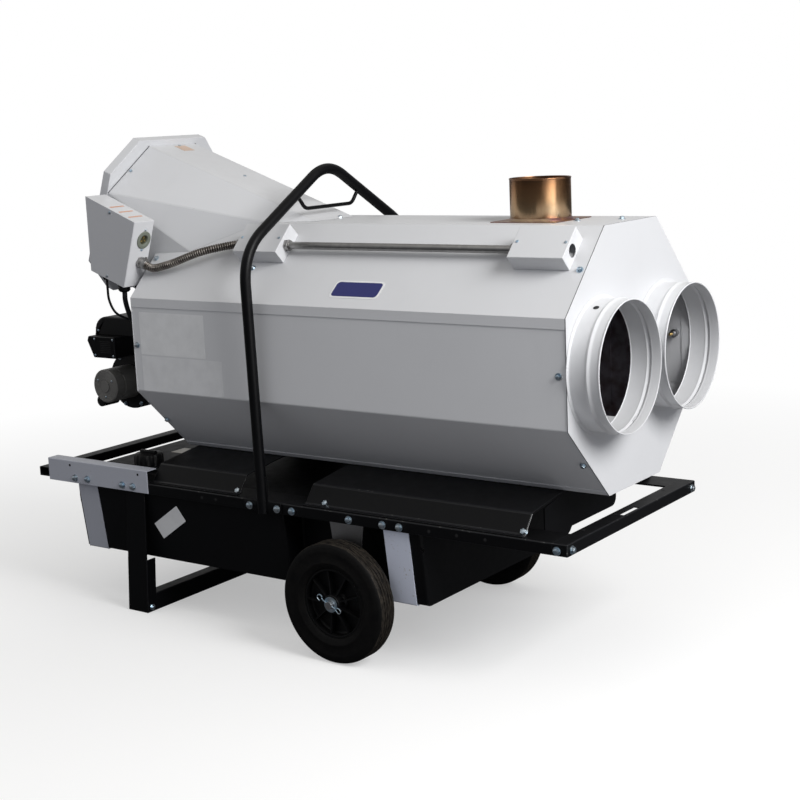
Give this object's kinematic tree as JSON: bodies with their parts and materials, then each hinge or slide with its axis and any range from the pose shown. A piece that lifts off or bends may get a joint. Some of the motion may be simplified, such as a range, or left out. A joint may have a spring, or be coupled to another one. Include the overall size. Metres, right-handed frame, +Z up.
{
  "type": "forced air heater",
  "caption": "Mobile indirect-fired air heater: octagonal cabinet with outlet collars, flue, inclined fan hood, control box and fuel tank on a wheeled frame with a lifting hoop.",
  "frame": {"origin": "middle of the footprint, on the ground", "axes": "+X towards the outlet collars along the cabinet, +Y to the right of a person who looks in the direction of -X from in front of the outlets, +Z up"},
  "size_m": [1.8382, 0.816, 1.3218],
  "materials": {
    "white": "white powder coat, satin",
    "grey_lid": "light grey powder coat, satin",
    "copper": "stainless sheet with a bronze heat tint",
    "hot_steel": "heat-tinted steel sheet",
    "zinc_sheet": "galvanised sheet",
    "brass": "plain turned",
    "black": "black powder coat, satin",
    "aluminium": "cast, matt",
    "plastic": "moulded, fine grain",
    "galvanised": "galvanised steel",
    "cable_rubber": "smooth sheath",
    "red": "moulded, glossy",
    "grey_strap": "light grey coat on zinc, satin",
    "tank": "rotationally moulded, fine grain",
    "tyre": "solid rubber, matt"
  },
  "bodies": {
    "root": {"upper_cover": "white", "side_panel_left": "white", "side_panel_right": "white", "bottom_pan": "white", "front_panel": "white", "rear_panel": "white", "outlet_collar_left": "white", "outlet_collar_right": "white", "fan_hood": "white", "inlet_flange": "white", "control_box": "white", "junction_box_rear": "white", "junction_box_front": "white", "control_box_lid": "grey_lid", "flue_plate": "copper", "flue_pipe": "copper", "combustion_chamber": "hot_steel", "heat_exchanger": "hot_steel", "core_cradle": "zinc_sheet", "fan_motor_bracket": "zinc_sheet", "overheat_sensor": "brass", "fan_guard": "black", "fan_motor": "black", "burner_scroll": "black", "ignition_box": "black", "frame_rail_left": "black", "frame_rail_right": "black", "front_crossbar": "black", "rear_crossbar": "black", "deck_front": "black", "deck_rear": "black", "lifting_hoop": "black", "fuel_manifold": "black", "stand": "black", "fuel_pump": "aluminium", "thermostat_socket": "plastic", "cable_gland_small": "plastic", "cable_gland_large": "plastic", "burner_cover": "plastic", "box_conduit_connector": "galvanised", "conduit_tube": "galvanised", "flex_conduit": "galvanised", "burner_blast_tube": "galvanised", "burner_motor": "galvanised", "axle": "galvanised", "control_cable": "cable_rubber", "supply_cable": "cable_rubber", "rail_extension_left": "grey_strap", "rail_extension_right": "grey_strap", "tank_strap_front": "grey_strap", "tank_strap_rear": "grey_strap", "fuel_tank": "tank"},
    "wheel_left": {"tyre_left": "tyre", "rim_left": "plastic"},
    "wheel_right": {"tyre_right": "tyre", "rim_right": "plastic"},
    "fan": {"fan_impeller": "aluminium"},
    "burner_fan": {"burner_impeller": "zinc_sheet"},
    "cap": {"tank_cap": "plastic"},
    "button": {"reset_button": "red"}
  },
  "joints": [
    {"name": "wheel_left_spin", "type": "hinge", "parent": "root", "child": "wheel_left", "pos_m": [0.19185, -0.365, 0.1565], "axis": [0, 1, 0], "continuous": true},
    {"name": "wheel_right_spin", "type": "hinge", "parent": "root", "child": "wheel_right", "pos_m": [0.19185, 0.365, 0.1565], "axis": [0, 1, 0], "continuous": true},
    {"name": "fan_spin", "type": "hinge", "parent": "root", "child": "fan", "pos_m": [-0.65989, 0, 1.08605], "axis": [0.9409, 0, -0.3387], "continuous": true},
    {"name": "burner_fan_spin", "type": "hinge", "parent": "root", "child": "burner_fan", "pos_m": [-0.83215, 0.0093, 0.598], "axis": [0, 1, 0], "continuous": true},
    {"name": "cap_lift", "type": "slide", "parent": "root", "child": "cap", "axis": [0, 0, 1], "range_m": [0, 0.03]},
    {"name": "reset_press", "type": "slide", "parent": "root", "child": "button", "axis": [1, 0, 0], "range_m": [0, 0.004], "stiffness_N_per_m": 200, "springref_m": -0.001}
  ]
}
